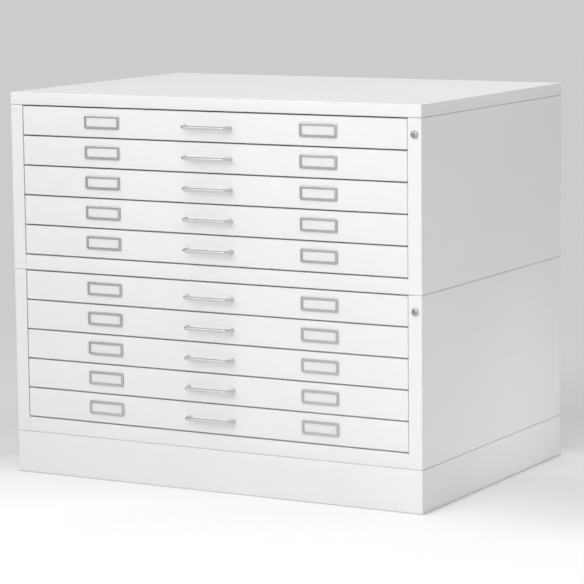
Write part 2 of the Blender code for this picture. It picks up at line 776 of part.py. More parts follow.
def lock_bar_shape():
    """The bar that the lock lifts, with a hook for each drawer's catch."""
    curve = bpy.data.curves.new("lock_bar", "CURVE")
    curve.dimensions = "2D"
    curve.fill_mode = "BOTH"
    curve.extrude = LOCK_BAR_SHEET / 2
    for outline in lock_bar_outlines():
        add_spline(curve, outline, closed=True)
    bar = curve_mesh(curve)
    middle = (LOCK_BAR_FRONT + LOCK_BAR_BACK) / 2
    upright = Matrix.Translation((0, middle, 0)) @ Matrix.Rotation(math.radians(90), 4, "X")
    bar.transform(upright)
    return from_bmesh(bar)


def build_units(collection, root):
    """Each unit's side panels, back, rail, runners and lock."""
    plain_side = right_side_shape(False)
    left_side = finished_mesh(mirrored(plain_side), "left_side")
    bpy.data.objects.remove(plain_side)
    right_side = finished_mesh(right_side_shape(True), "right_side")
    plain_runners = right_runners_shape(False)
    left_runners = finished_mesh(mirrored(plain_runners), "left_runners")
    bpy.data.objects.remove(plain_runners)
    right_runners = finished_mesh(right_runners_shape(True), "right_runners")
    back_panel = finished_mesh(back_panel_shape(), "back_panel")
    bottom_rail = finished_mesh(bottom_rail_shape(), "bottom_rail")
    lock_cylinder = finished_mesh(lock_cylinder_shape(), "lock_cylinder")
    lock_plug = finished_mesh(lock_plug_shape(), "lock_plug")
    lock_bar = finished_mesh(lock_bar_shape(), "lock_bar")
    for level, unit in enumerate(UNIT_NAMES):
        floor = BASE_HEIGHT + level * UNIT_HEIGHT
        frame = place_empty(f"{unit}_unit", (0, FRONT_Y, floor), collection, root)
        for name, mesh, finish in (
            ("left_side", left_side, WHITE_ENAMEL),
            ("right_side", right_side, WHITE_ENAMEL),
            ("back_panel", back_panel, WHITE_ENAMEL),
            ("bottom_rail", bottom_rail, WHITE_ENAMEL),
            ("left_runners", left_runners, ZINC_STEEL),
            ("right_runners", right_runners, ZINC_STEEL),
        ):
            place_part(f"{unit}_{name}", mesh, finish, frame, collection)
        lock_place = (LOCK_X, 0, lock_height_in_unit())
        lock_axis = place_empty(f"{unit}_lock_axis", lock_place, collection, frame)
        place_part(f"{unit}_lock_cylinder", lock_cylinder, CHROME, lock_axis, collection)
        place_part(f"{unit}_lock_plug", lock_plug, CHROME, lock_axis, collection)
        bar_slide = place_empty(f"{unit}_lock_bar_slide", (0, 0, 0), collection, frame)
        place_part(f"{unit}_lock_bar", lock_bar, ZINC_STEEL, bar_slide, collection)


def build_drawers(collection, root):
    """Ten drawers, numbered from the top, each on the empty that slides with it."""
    tray = finished_mesh(tray_shape(), "drawer_tray")
    pull = finished_mesh(pull_shape(), "drawer_pull")
    holder = finished_mesh(holder_shape(), "label_holder")
    count = len(UNIT_NAMES) * DRAWERS_PER_UNIT
    for number in range(1, count + 1):
        level, row = divmod(count - number, DRAWERS_PER_UNIT)
        floor = BASE_HEIGHT + level * UNIT_HEIGHT + drawer_floor_in_unit(row)
        name = f"drawer_{number:02d}"
        slide = place_empty(f"{name}_slide", (0, FRONT_Y, floor), collection, root)
        place_part(f"{name}_tray", tray, WHITE_ENAMEL, slide, collection)
        grip = place_part(f"{name}_pull", pull, CHROME, slide, collection)
        grip.location = (0, 0, PULL_HEIGHT)
        for side, label in ((-1, "left"), (1, "right")):
            frame = place_part(f"{name}_{label}_label_holder", holder, NICKEL, slide, collection)
            frame.location = (side * HOLDER_OFFSET, 0, HOLDER_PLACE)


def main():
    for old in list(bpy.data.objects):
        bpy.data.objects.remove(old)
    collection = collection_named("flat_file_cabinet")
    root = place_empty("cabinet", (0, 0, 0), collection)
    floor = place_empty("floor_front", (0, FRONT_Y, 0), collection, root)
    place_part("closed_base", finished_mesh(base_shape(), "closed_base"), WHITE_ENAMEL, floor, collection)
    top = place_empty("cap_front", (0, FRONT_Y, CAP_FLOOR), collection, root)
    place_part("cap", finished_mesh(cap_shape(), "cap"), WHITE_ENAMEL, top, collection)
    build_units(collection, root)
    build_drawers(collection, root)


main()
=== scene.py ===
"""Looks for the flat file cabinet: finishes, fine pulls, locks, roller tyres and cards, and the studio."""
import json
import math

import bmesh
import bpy
from mathutils import Matrix, Vector

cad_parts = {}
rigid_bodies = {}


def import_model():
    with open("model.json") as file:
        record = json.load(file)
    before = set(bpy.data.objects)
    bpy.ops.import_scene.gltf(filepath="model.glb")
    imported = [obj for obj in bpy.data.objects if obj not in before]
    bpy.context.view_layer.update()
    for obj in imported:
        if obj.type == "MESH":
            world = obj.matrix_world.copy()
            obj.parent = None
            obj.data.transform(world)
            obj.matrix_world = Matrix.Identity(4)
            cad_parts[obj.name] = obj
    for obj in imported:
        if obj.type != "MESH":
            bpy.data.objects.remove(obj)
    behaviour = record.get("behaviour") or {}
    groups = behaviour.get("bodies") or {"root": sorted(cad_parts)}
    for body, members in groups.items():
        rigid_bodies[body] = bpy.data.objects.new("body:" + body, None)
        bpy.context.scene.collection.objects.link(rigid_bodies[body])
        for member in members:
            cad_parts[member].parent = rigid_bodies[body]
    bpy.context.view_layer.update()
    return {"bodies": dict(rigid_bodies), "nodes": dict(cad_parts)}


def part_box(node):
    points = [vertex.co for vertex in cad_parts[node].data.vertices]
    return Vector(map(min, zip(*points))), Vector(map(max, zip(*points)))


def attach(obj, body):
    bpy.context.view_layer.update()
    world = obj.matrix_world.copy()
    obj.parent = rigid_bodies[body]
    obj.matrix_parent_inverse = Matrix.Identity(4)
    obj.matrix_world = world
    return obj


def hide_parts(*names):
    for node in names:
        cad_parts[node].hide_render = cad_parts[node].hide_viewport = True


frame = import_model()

DRAWERS = [name for name in frame["bodies"] if name.startswith("drawer_")]
UNITS = ("lower", "upper")
SIDES = {"left": -1, "right": 1}
REPLACED = ("_pull", "_lock_cylinder", "_lock_plug")

# Camera: its place from the floor under the cabinet's middle, and how it is turned, in degrees
CAMERA_PLACE = (3.1130, -5.5381, 1.3036)
CAMERA_YAW = 29.248
CAMERA_PITCH = 8.086
CAMERA_ROLL = -0.566
CAMERA_FOCAL_PIXELS = 2796.3
FRAME_PIXELS = 584
SENSOR_WIDTH = 36.0

# Floor: pale paper with a painted pool of light, white round a spot in front of the cabinet and grey far
# off.
# Its painted tones go with the distance from that spot, and beyond the even reach it keeps its tone
# whatever light falls on it
FAR_GREY = 0.605
LIGHT_POOL_SPOT = (0.75, -1.35, 0.0)
LIGHT_POOL_TONES = (
    (1.00, 0.92), (1.20, 0.94), (1.50, 0.89), (1.70, 0.82), (1.85, 0.72), (2.30, 0.65), (4.20, FAR_GREY),
)
PAPER_RADIUS = 30.0
PAPER_POINTS = 128
EVEN_REACH = (2.2, 4.0)

# Floor: a soft painted shadow of the cabinet on its right, a thin painted contact shadow beside its base,
# and how much of the light that falls on it comes back to the cabinet, less from the left than from the
# right
PAINTED_SHADOW = 0.2
PAINTED_SHADOW_SPOT = (0.85, 0.0, 0.0)
PAINTED_SHADOW_REACH = (0.5, 0.1)
CONTACT_SHADOW = 0.22
CONTACT_SHADOW_WIDTH = 0.015
CONTACT_SHADOW_FADE = 0.006
LEFT_BOUNCE = 0.7
BOUNCE_SPAN = (0.3, 1.0)

# World: dim below and bright above as a light. Metal mirrors the far grey behind the cabinet, a darker
# room in front of it, a bright panel in front on the right and a black one on the left. The spans are
# of a direction's share along one axis
SKY_LOW = 0.01
SKY_HIGH = 1.28
ROOM_GREY = 0.35
ROOM_SPAN = (-0.55, 0.1)
GLOW = 1.6
GLOW_SIDE_SPAN = (0.05, 0.3)
GLOW_FRONT_SPAN = (-0.45, -0.75)
FLAG_GREY = 0.05
FLAG_SPAN = (-0.85, -0.45)

# Soft boxes: place, aim, size, power and spread in degrees
SOFT_BOXES = {
    "key": ((-2.85, -4.0, 2.3), (0.3, -0.35, 1.6), 0.9, 8.5, 90.0),
    "fill": ((0.45, -4.95, 3.3), (1.1, -0.35, 1.9), 4.5, 39.0, 75.0),
    "low": ((2.1, 0.45, 0.28), (0.52, 0.18, 0.04), 0.5, 0.15, 30.0),
}

# Pull
PULL_SPAN = 0.104
PULL_SPLAY = 0.005
PULL_PROJECTION = 0.0245
PULL_ROD_RADIUS = 0.00377
PULL_BEND_RADIUS = 0.009
PULL_BEND_STEPS = 10
PULL_ROD_RESOLUTION = 10
PULL_FOOT_RADIUS = 0.0044
PULL_FOOT_THICKNESS = 0.0022
PULL_FOOT_EDGE = 0.0007
PULL_NECK_RADIUS = 0.0040
PULL_NECK_HEIGHT = 0.0012
SEAT_GAP = 0.0003
SCREW_RADIUS = 0.0019
SCREW_HEAD_RADIUS = 0.0039
SCREW_HEAD_THICKNESS = 0.0024
FRONT_SHEET = 0.0012

# Lock
LOCK_HEAD_RADIUS = 0.0083
LOCK_HEAD_THICKNESS = 0.0042
LOCK_CROWN_STEPS = 10
LOCK_RIM = 0.0012
LOCK_CROWN = LOCK_HEAD_THICKNESS - LOCK_RIM
LOCK_BORE_RADIUS = 0.0053
LOCK_BARREL_RADIUS = 0.007
LOCK_BARREL_LENGTH = 0.019
LOCK_NUT_RADIUS = 0.0095
LOCK_NUT_THICKNESS = 0.004
PLUG_RADIUS = 0.005
PLUG_EDGE = 0.0003
KEYWAY_WIDTH = 0.0016
KEYWAY_HEIGHT = 0.0065
KEYWAY_DEPTH = 0.008
KEYWAY_WARD = 0.0007
CRANK_RADIUS = 0.0075
CRANK_THICKNESS = 0.0025
CRANK_THROW = 0.005
CRANK_PIN_RADIUS = 0.002
CRANK_PIN_END = 0.0282

# Card
CARD_MARGIN = 0.0013
CARD_THICKNESS = 0.0003
CARD_BOW = 0.0006
CARD_COLUMNS = 16
CARD_ROWS = 6
HOLDER_LIP = 0.0009

# Roller tyres
ROLLER_INNER = 0.4738
FRONT_ROLLER_Y = 0.052
FRONT_ROLLER_Z = 0.0297
REAR_ROLLER_Y = 0.665
REAR_ROLLER_Z = 0.0301
TYRE_GROWTH = 0.0001
TYRE_EDGE = 0.0008
TYRE_WIDTH = 0.0075
TYRE_GROOVE_DEPTH = 0.0005
TYRE_GROOVE_WIDTH = 0.0012
HUB_RADIUS = 0.0046
HUB_DISH = 0.0008
FRONT_ROLLER_RADIUS = 0.010
REAR_ROLLER_RADIUS = 0.011

# Finishes: greys from dark to light, and roughness at its least
PULL_GREYS = (0.59, 0.67)
PULL_ROUGHNESS = 0.36
LOCK_GREYS = (0.44, 0.52)
LOCK_ROUGHNESS = 0.30
ENAMEL_EDGE_RADIUS = 0.0012
ENAMEL_WEAR = 0.35
ENAMEL_THIN = (0.62, 0.62, 0.61, 1)

# Meshes
ROUND_STEPS = 64
SMALL_ROUND_STEPS = 40
EDGE_STEPS = 4
NUT_SIDES = 6
SMOOTH_ANGLE = math.radians(50)
SHARP_ANGLE = math.radians(35)
WELD_DISTANCE = 0.00001


class Nodes:
    """A short way to write a material's node tree."""

    def __init__(self, tree):
        self.tree = tree

    def add(self, kind, inputs=None, **settings):
        """A node of that kind. An input is a value, or another node's output."""
        node = self.tree.nodes.new(kind)
        for name, value in settings.items():
            setattr(node, name, value)
        for name, value in (inputs or {}).items():
            socket = node.inputs[name]
            if isinstance(value, bpy.types.NodeSocket):
                self.tree.links.new(value, socket)
            else:
                socket.default_value = value
        return node

    def noise(self, where, scale, detail=3.0, roughness=0.5):
        """A noise texture's value, from 0 to 1. The scale is in waves a metre."""
        inputs = {"Vector": where, "Scale": scale, "Detail": detail, "Roughness": roughness}
        return self.add("ShaderNodeTexNoise", inputs).outputs["Fac"]

    def spread(self, value, low, high, start=0.3, end=0.7):
        """A value from start to end turned into one from low to high."""
        inputs = {"Value": value, "From Min": start, "From Max": end, "To Min": low, "To Max": high}
        return self.add("ShaderNodeMapRange", inputs).outputs["Result"]

    def blend_colours(self, share, first, second):
        """One colour shading into another."""
        node = self.add("ShaderNodeMix", data_type="RGBA")
        for name, value in (("Factor_Float", share), ("A_Color", first), ("B_Color", second)):
            socket = next(s for s in node.inputs if s.identifier == name)
            if isinstance(value, bpy.types.NodeSocket):
                self.tree.links.new(value, socket)
            else:
                socket.default_value = value
        return next(s for s in node.outputs if s.identifier == "Result_Color")

    def smooth_step(self, value, span):
        """A value turned into a soft step from 0 at the span's start to 1 at its end."""
        inputs = {"Value": value, "From Min": span[0], "From Max": span[1]}
        return self.add("ShaderNodeMapRange", inputs, interpolation_type="SMOOTHSTEP").outputs["Result"]

    def ramp(self, value, stops):
        """A grey that follows (value, tone) stops."""
        first, last = stops[0][0], stops[-1][0]
        share = self.add("ShaderNodeMapRange", {"Value": value, "From Min": first, "From Max": last})
        node = self.add("ShaderNodeValToRGB", {"Fac": share.outputs["Result"]})
        elements = node.color_ramp.elements
        while len(elements) < len(stops):
            elements.new(0.5)
        for element, (place, tone) in zip(elements, stops):
            element.position = (place - first) / (last - first)
            element.color = grey(tone)
        node.color_ramp.interpolation = "EASE"
        return node.outputs["Color"]

    def math(self, operation, first, second):
        """The sum, product or other join of two values."""
        return self.add("ShaderNodeMath", {0: first, 1: second}, operation=operation).outputs["Value"]

    def vector_math(self, operation, first, second, output="Vector"):
        """The same for two vectors."""
        return self.add("ShaderNodeVectorMath", {0: first, 1: second}, operation=operation).outputs[output]

    def axes(self, vector):
        """A vector's X, Y and Z."""
        return self.add("ShaderNodeSeparateXYZ", {"Vector": vector}).outputs

    def seen(self):
        """Light Path's outputs, and 1 for a ray that comes off metal or through glass."""
        path = self.add("ShaderNodeLightPath").outputs
        return path, self.math("MAXIMUM", path["Is Glossy Ray"], path["Is Transmission Ray"])

    def bump(self, height, strength, distance, normal=None):
        """A bumped normal."""
        inputs = {"Height": height, "Strength": strength, "Distance": distance}
        if normal is not None:
            inputs["Normal"] = normal
        return self.add("ShaderNodeBump", inputs).outputs["Normal"]


def new_material(name):
    """A material with its Principled shader, its nodes and the place in the object's own space."""
    material = bpy.data.materials.new(name)
    material.use_nodes = True
    shader = material.node_tree.nodes["Principled BSDF"]
    nodes = Nodes(material.node_tree)
    where = nodes.add("ShaderNodeTexCoord").outputs["Object"]
    return material, shader, nodes, where


def link(nodes, output, shader, name):
    """Feeds a shader's input."""
    nodes.tree.links.new(output, shader.inputs[name])


def grey(value):
    """A plain grey as a colour."""
    return (value, value, value, 1.0)


def enamel_material():
    """Baked white enamel on steel: a faint orange peel, uneven gloss, and thinner paint on the edges."""
    material, shader, nodes, where = new_material("baked_white_enamel")
    clouds = nodes.noise(where, 3.0, detail=4.0)
    shares = nodes.spread(clouds, 0.0, 1.0)
    body = nodes.blend_colours(shares, (0.855, 0.857, 0.855, 1), (0.885, 0.885, 0.882, 1))
    rounded = nodes.add("ShaderNodeBevel", {"Radius": ENAMEL_EDGE_RADIUS}, samples=4).outputs["Normal"]
    flat = nodes.add("ShaderNodeNewGeometry").outputs["Normal"]
    alike = nodes.vector_math("DOT_PRODUCT", rounded, flat, "Value")
    edge = nodes.spread(alike, 1.0, 0.0, 0.72, 0.99)
    speckle = nodes.spread(nodes.noise(where, 140.0, detail=6.0, roughness=0.65), 0.0, 1.0, 0.45, 0.75)
    share = nodes.math("MULTIPLY", nodes.math("MULTIPLY", edge, speckle), ENAMEL_WEAR)
    link(nodes, nodes.blend_colours(share, body, ENAMEL_THIN), shader, "Base Color")
    gloss = nodes.noise(where, 22.0, detail=5.0)
    link(nodes, nodes.spread(gloss, 0.36, 0.46), shader, "Roughness")
    peel = nodes.noise(where, 420.0, detail=2.0, roughness=0.45)
    grain = nodes.noise(where, 1900.0, detail=2.0)
    smooth = nodes.bump(peel, 0.06, 0.0004, rounded)
    link(nodes, nodes.bump(grain, 0.05, 0.0001, smooth), shader, "Normal")
    shader.inputs["IOR"].default_value = 1.5
    shader.inputs["Coat Weight"].default_value = 0.15
    shader.inputs["Coat Roughness"].default_value = 0.22
    return material


def chrome_material(name, greys, roughness):
    """Satin chrome plate with faint polishing marks, between two greys."""
    material, shader, nodes, where = new_material(name)
    haze = nodes.noise(where, 90.0, detail=5.0)
    link(nodes, nodes.blend_colours(haze, *map(grey, greys)), shader, "Base Color")
    link(nodes, nodes.spread(haze, roughness, roughness + 0.1), shader, "Roughness")
    stretch = nodes.add("ShaderNodeMapping", {"Vector": where, "Scale": (60.0, 2500.0, 2500.0)})
    marks = nodes.noise(stretch.outputs["Vector"], 1.0, detail=2.0)
    link(nodes, nodes.bump(marks, 0.012, 0.00005), shader, "Normal")
    shader.inputs["Metallic"].default_value = 1.0
    return material


def nickel_material():
    """Satin nickel: fine brush marks along the holder."""
    material, shader, nodes, where = new_material("satin_nickel")
    stretch = nodes.add("ShaderNodeMapping", {"Vector": where, "Scale": (45.0, 3200.0, 3200.0)})
    brush = nodes.noise(stretch.outputs["Vector"], 1.0, detail=3.0)
    tone = nodes.blend_colours(brush, (0.46, 0.46, 0.46, 1), (0.60, 0.60, 0.59, 1))
    link(nodes, tone, shader, "Base Color")
    link(nodes, nodes.spread(brush, 0.26, 0.40), shader, "Roughness")
    link(nodes, nodes.bump(brush, 0.08, 0.00005), shader, "Normal")
    shader.inputs["Metallic"].default_value = 1.0
    return material


def zinc_material():
    """Bright zinc plate with soft spangle and dulled patches."""
    material, shader, nodes, where = new_material("zinc_plate")
    cells = nodes.add("ShaderNodeTexVoronoi", {"Vector": where, "Scale": 160.0}).outputs["Color"]
    cell_tone = nodes.add("ShaderNodeSeparateColor", {"Color": cells}).outputs["Red"]
    dull = nodes.noise(where, 14.0, detail=5.0)
    tone = nodes.blend_colours(cell_tone, (0.52, 0.54, 0.56, 1), (0.66, 0.67, 0.68, 1))
    tone = nodes.blend_colours(nodes.spread(dull, 0.0, 0.35), tone, (0.50, 0.50, 0.49, 1))
    link(nodes, tone, shader, "Base Color")
    link(nodes, nodes.spread(dull, 0.30, 0.48), shader, "Roughness")
    link(nodes, nodes.bump(cell_tone, 0.06, 0.0001), shader, "Normal")
    shader.inputs["Metallic"].default_value = 1.0
    return material


def card_material():
    """Uncoated white card."""
    material, shader, nodes, where = new_material("label_card")
    fibre = nodes.noise(where, 900.0, detail=6.0, roughness=0.6)
    link(nodes, nodes.blend_colours(fibre, grey(0.80), grey(0.88)), shader, "Base Color")
    link(nodes, nodes.spread(fibre, 0.72, 0.86), shader, "Roughness")
    link(nodes, nodes.bump(fibre, 0.15, 0.0001), shader, "Normal")
    return material


def nylon_material():
    """Moulded nylon for the rollers."""
    material, shader, nodes, where = new_material("roller_nylon")
    mottle = nodes.noise(where, 260.0, detail=4.0)
    tone = nodes.blend_colours(mottle, (0.60, 0.59, 0.55, 1), (0.70, 0.69, 0.65, 1))
    link(nodes, tone, shader, "Base Color")
    link(nodes, nodes.spread(mottle, 0.34, 0.46), shader, "Roughness")
    link(nodes, nodes.bump(mottle, 0.05, 0.0001), shader, "Normal")
    shader.inputs["Subsurface Weight"].default_value = 0.1
    shader.inputs["Subsurface Scale"].default_value = 0.002
    return material


def shade_tree():
    """A modifier's node tree that shades smooth, but for edges sharper than the smooth angle."""
    tree = bpy.data.node_groups.new("shade_by_angle", "GeometryNodeTree")
    tree.interface.new_socket("Geometry", in_out="INPUT", socket_type="NodeSocketGeometry")
    tree.interface.new_socket("Geometry", in_out="OUTPUT", socket_type="NodeSocketGeometry")
    nodes = Nodes(tree)
    source = nodes.add("NodeGroupInput")
    faces = nodes.add("GeometryNodeSetShadeSmooth", {"Geometry": source.outputs[0]}, domain="FACE")
    angle = nodes.add("GeometryNodeInputMeshEdgeAngle").outputs["Unsigned Angle"]
    blunt = nodes.add("FunctionNodeCompare", {0: angle, 1: SMOOTH_ANGLE}, operation="LESS_EQUAL")
    edge_inputs = {"Geometry": faces.outputs[0], "Shade Smooth": blunt.outputs[0]}
    edges = nodes.add("GeometryNodeSetShadeSmooth", edge_inputs, domain="EDGE")
    nodes.add("NodeGroupOutput", {0: edges.outputs[0]})
    return tree


def dress_node(name, material, tree):
    """A CAD node keeps its shape, and gets a finish and soft shading over its bends."""
    piece = frame["nodes"][name]
    for place in piece.material_slots:
        place.material = material
    weld = piece.modifiers.new("weld", "WELD")
    weld.merge_threshold = WELD_DISTANCE
    shade = piece.modifiers.new("shade", "NODES")
    shade.node_group = tree
    weigh = piece.modifiers.new("weigh", "WEIGHTED_NORMAL")
    weigh.keep_sharp = True


def new_piece(name, mesh, material, body, replaced=()):
    """A piece of the scene, with its finish, its body and what it stands for."""
    mesh.materials.clear()
    mesh.materials.append(material)
    piece = bpy.data.objects.new(name, mesh)
    bpy.context.scene.collection.objects.link(piece)
    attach(piece, body)
    if replaced:
        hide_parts(*replaced)
    return piece


def mesh_from(shape, name):
    """A mesh from a bmesh, shaded smooth up to the sharp edges."""
    bmesh.ops.recalc_face_normals(shape, faces=shape.faces)
    mesh = bpy.data.meshes.new(name)
    shape.to_mesh(mesh)
    shape.free()
    mesh.shade_smooth()
    mesh.set_sharp_from_angle(angle=SHARP_ANGLE)
    return mesh


def lathe(shape, profile, steps, centre=(0.0, 0.0, 0.0), axis="Y"):
    """Turns a closed profile of (radius, along) points round an axis, into the bmesh."""
    place = {
        "Y": lambda radius, along: (radius, along, 0.0),
        "X": lambda radius, along: (along, radius, 0.0),
    }[axis]
    turn_axis = {"Y": (0, 1, 0), "X": (1, 0, 0)}[axis]
    centre = Vector(centre)
    points = [shape.verts.new(Vector(place(*point)) + centre) for point in profile]
    on_axis = [radius == 0.0 for radius, along in profile]
    edges = []
    for number, first in enumerate(points):
        after = (number + 1) % len(points)
        if not (on_axis[number] and on_axis[after]):
            edges.append(shape.edges.new((first, points[after])))
    whole_turn = {"axis": turn_axis, "angle": math.tau, "steps": steps, "use_merge": True}
    bmesh.ops.spin(shape, geom=points + edges, cent=centre, **whole_turn)
    bmesh.ops.remove_doubles(shape, verts=shape.verts, dist=WELD_DISTANCE / 10)


def rounded_corner(centre, radius, start):
    """Points of a quarter arc round a centre in a profile. start is the arc's first angle, in degrees."""
    points = []
    for step in range(EDGE_STEPS + 1):
        angle = math.radians(start + 90 * step / EDGE_STEPS)
        points.append((centre[0] + radius * math.cos(angle), centre[1] + radius * math.sin(angle)))
    return points


def pull_route():
    """The pull's centreline, from one foot to the other, as points (x, y) from the front's face."""
    foot = Vector((PULL_SPAN / 2 + PULL_SPLAY, -PULL_FOOT_THICKNESS / 2))
    corner = Vector((PULL_SPAN / 2, -PULL_PROJECTION))
    leg = (foot - corner).normalized()
    grip = Vector((-1, 0))
    half_angle = leg.angle(grip) / 2
    reach = PULL_BEND_RADIUS / math.tan(half_angle)
    centre = corner + (leg + grip).normalized() * PULL_BEND_RADIUS / math.sin(half_angle)
    first = corner + leg * reach - centre
    last = corner + grip * reach - centre
    sweep = first.angle_signed(last)
    half = [foot]
    for step in range(PULL_BEND_STEPS + 1):
        half.append(centre + Matrix.Rotation(-sweep * step / PULL_BEND_STEPS, 2) @ first)
    return half + [Vector((-point.x, point.y)) for point in reversed(half)]


def tube_mesh(route, radius, resolution):
    """A round rod along a route of (x, y) points, as a mesh with welded caps."""
    curve = bpy.data.curves.new("tube", "CURVE")
    curve.dimensions = "3D"
    curve.bevel_depth = radius
    curve.bevel_resolution = resolution
    curve.use_fill_caps = True
    spline = curve.splines.new("POLY")
    spline.points.add(len(route) - 1)
    for point, place in zip(spline.points, route):
        point.co = (place.x, place.y, 0, 1)
    guide = bpy.data.objects.new("tube", curve)
    bpy.context.scene.collection.objects.link(guide)
    bpy.context.view_layer.update()
    graph = bpy.context.evaluated_depsgraph_get()
    mesh = bpy.data.meshes.new_from_object(guide.evaluated_get(graph))
    bpy.data.objects.remove(guide)
    bpy.data.curves.remove(curve)
    return mesh


def pull_mesh():
    """The bent rod with a turned foot on each leg, and the screws behind the front."""
    shape = bmesh.new()
    shape.from_mesh(tube_mesh(pull_route(), PULL_ROD_RADIUS, PULL_ROD_RESOLUTION))
    bmesh.ops.remove_doubles(shape, verts=shape.verts, dist=WELD_DISTANCE)
    seat = -SEAT_GAP
    face = seat - PULL_FOOT_THICKNESS
    neck = face - PULL_NECK_HEIGHT
    foot = [(0.0, seat), (PULL_FOOT_RADIUS, seat)]
    edge_centre = (PULL_FOOT_RADIUS - PULL_FOOT_EDGE, face + PULL_FOOT_EDGE)
    foot += reversed(rounded_corner(edge_centre, PULL_FOOT_EDGE, 270))
    foot += [(PULL_NECK_RADIUS, face), (PULL_ROD_RADIUS, neck), (0.0, neck)]
    behind = FRONT_SHEET + SEAT_GAP
    head_back = behind + SCREW_HEAD_THICKNESS
    crown = (SCREW_HEAD_RADIUS - SCREW_RADIUS / 2, head_back - SCREW_RADIUS / 2)
    screw = [(0.0, face / 2), (SCREW_RADIUS, face / 2), (SCREW_RADIUS, behind), (SCREW_HEAD_RADIUS, behind)]
    screw += rounded_corner(crown, SCREW_RADIUS / 2, 0)
    screw += [(0.0, head_back)]
    for side in SIDES.values():
        across = side * (PULL_SPAN / 2 + PULL_SPLAY)
        for profile in (foot, screw):
            lathe(shape, profile, SMALL_ROUND_STEPS, centre=(across, 0.0, 0.0))
    return mesh_from(shape, "pull")


def hexagon_prism(shape, radius, bore, start, end):
    """A hexagonal nut along Y, with its bore, into the bmesh."""
    rings = []
    for reach, along in ((radius, start), (radius, end), (bore, end), (bore, start)):
        ring = []
        for corner in range(NUT_SIDES):
            angle = math.tau * corner / NUT_SIDES
            ring.append(shape.verts.new((reach * math.cos(angle), along, reach * math.sin(angle))))
        rings.append(ring)
    for first, second in zip(rings, rings[1:] + rings[:1]):
        for corner in range(NUT_SIDES):
            after = (corner + 1) % NUT_SIDES
            shape.faces.new((first[corner], first[after], second[after], second[corner]))


def lock_cylinder_mesh():
    """The lock's case: a crowned bezel, the barrel and its nut."""
    shape = bmesh.new()
    seat = -SEAT_GAP
    profile = [(LOCK_BORE_RADIUS, LOCK_BARREL_LENGTH), (LOCK_BARREL_RADIUS, LOCK_BARREL_LENGTH)]
    profile += [(LOCK_BARREL_RADIUS, seat), (LOCK_HEAD_RADIUS, seat)]
    crown = LOCK_HEAD_RADIUS - LOCK_BORE_RADIUS
    for step in range(LOCK_CROWN_STEPS + 1):
        angle = math.radians(90 * step / LOCK_CROWN_STEPS)
        along = seat - LOCK_RIM - LOCK_CROWN * math.sin(angle)
        profile.append((LOCK_BORE_RADIUS + crown * math.cos(angle), along))
    lathe(shape, profile, ROUND_STEPS)
    nut_front = FRONT_SHEET + SEAT_GAP
    hexagon_prism(shape, LOCK_NUT_RADIUS, LOCK_BARREL_RADIUS, nut_front, nut_front + LOCK_NUT_THICKNESS)
    return mesh_from(shape, "lock_cylinder")


def keyway_cutter():
    """The keyway's slot, with a ward that makes it crooked."""
    low = -LOCK_HEAD_THICKNESS - KEYWAY_DEPTH
    high = -LOCK_HEAD_THICKNESS + KEYWAY_DEPTH
    half = KEYWAY_WIDTH / 2
    top = KEYWAY_HEIGHT / 2
    right, left = half + KEYWAY_WARD, -half + KEYWAY_WARD
    outline = [(-half, -top), (half, -top), (half, -top / 4), (right, 0), (right, top / 3), (half, top / 2)]
    outline += [(half, top), (-half, top), (-half, top / 4), (left, 0), (left, -top / 3), (-half, -top / 2)]
    shape = bmesh.new()
    base = [shape.verts.new((x, low, z)) for x, z in outline]
    face = shape.faces.new(base)
    drawn = bmesh.ops.extrude_face_region(shape, geom=[face])
    moved = [part for part in drawn["geom"] if isinstance(part, bmesh.types.BMVert)]
    bmesh.ops.translate(shape, vec=(0, high - low, 0), verts=moved)
    return mesh_from(shape, "keyway")


def boolean_cut(mesh, cutter_mesh):
    """The mesh with the cutter's shape taken out."""
    body = bpy.data.objects.new("body", mesh)
    cutter = bpy.data.objects.new("cutter", cutter_mesh)
    for made in (body, cutter):
        bpy.context.scene.collection.objects.link(made)
    step = body.modifiers.new("cut", "BOOLEAN")
    step.operation = "DIFFERENCE"
    step.object = cutter
    bpy.context.view_layer.update()
    graph = bpy.context.evaluated_depsgraph_get()
    cut = bpy.data.meshes.new_from_object(body.evaluated_get(graph))
    for made in (body, cutter):
        bpy.data.objects.remove(made)
    cut.shade_smooth()
    cut.set_sharp_from_angle(angle=SHARP_ANGLE)
    return cut


def lock_plug_mesh():
    """The plug that the key turns, with its keyway, and the crank with its pin behind."""
    shape = bmesh.new()
    front = -LOCK_HEAD_THICKNESS
    crank_front = LOCK_BARREL_LENGTH + SEAT_GAP
    crank_back = crank_front + CRANK_THICKNESS
    rim = (PLUG_RADIUS - PLUG_EDGE, front + PLUG_EDGE)
    profile = [(0.0, front)] + rounded_corner(rim, PLUG_EDGE, 270)
    profile += [(PLUG_RADIUS, crank_front), (CRANK_RADIUS, crank_front)]
    profile += [(CRANK_RADIUS, crank_back), (0.0, crank_back)]
    lathe(shape, profile, ROUND_STEPS)
    plug = boolean_cut(mesh_from(shape, "plug"), keyway_cutter())
    shape = bmesh.new()
    shape.from_mesh(plug)
    reach = CRANK_THROW * math.sqrt(0.5)
    pin_start = crank_back - CRANK_THICKNESS / 2
    pin = [(0.0, pin_start), (CRANK_PIN_RADIUS, pin_start)]
    pin += [(CRANK_PIN_RADIUS, CRANK_PIN_END), (0.0, CRANK_PIN_END)]
    lathe(shape, pin, SMALL_ROUND_STEPS, centre=(-reach, 0.0, -reach))
    return mesh_from(shape, "lock_plug")


